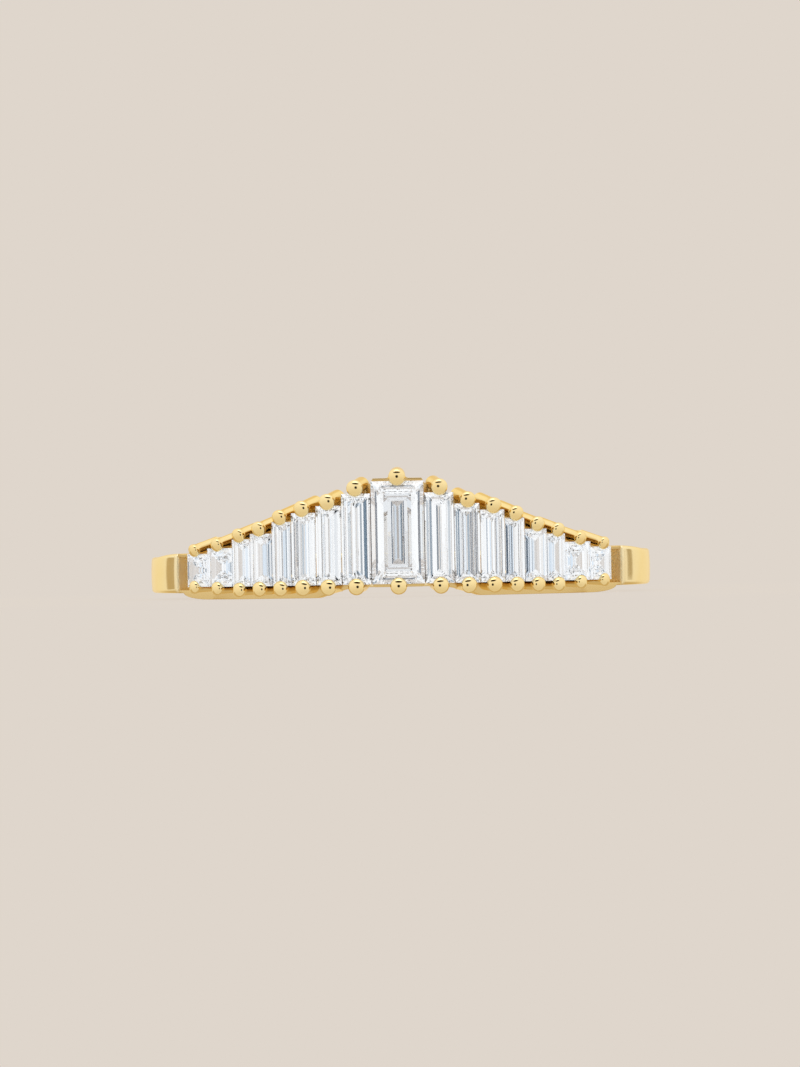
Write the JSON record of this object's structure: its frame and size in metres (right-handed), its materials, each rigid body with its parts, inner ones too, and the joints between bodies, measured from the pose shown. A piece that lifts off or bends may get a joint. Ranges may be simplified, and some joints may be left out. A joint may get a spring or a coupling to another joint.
{
  "type": "tiara ring",
  "caption": "Yellow gold finger ring whose front rises to a peak of graduated step-cut diamonds, each held above and below by a round bead prong.",
  "frame": {"origin": "centre of the outline seen from above, at the height of the lower rim of the gallery", "axes": "+Z along the finger, from the flat side of the ring to the peak of the tiara; the stones face -Y, the plain shank is towards +Y; +X to the right as seen from the stones' side"},
  "size_m": [0.0198, 0.0204, 0.005],
  "materials": {
    "yellow_gold": "polished 14 karat yellow gold",
    "diamond": "polished colourless diamond"
  },
  "bodies": {
    "root": {"ring_body": "yellow_gold", "diamond_centre": "diamond", "diamond_left_1": "diamond", "diamond_left_2": "diamond", "diamond_left_3": "diamond", "diamond_left_4": "diamond", "diamond_left_5": "diamond", "diamond_left_6": "diamond", "diamond_left_7": "diamond", "diamond_left_8": "diamond", "diamond_right_1": "diamond", "diamond_right_2": "diamond", "diamond_right_3": "diamond", "diamond_right_4": "diamond", "diamond_right_5": "diamond", "diamond_right_6": "diamond", "diamond_right_7": "diamond", "diamond_right_8": "diamond"}
  },
  "joints": []
}
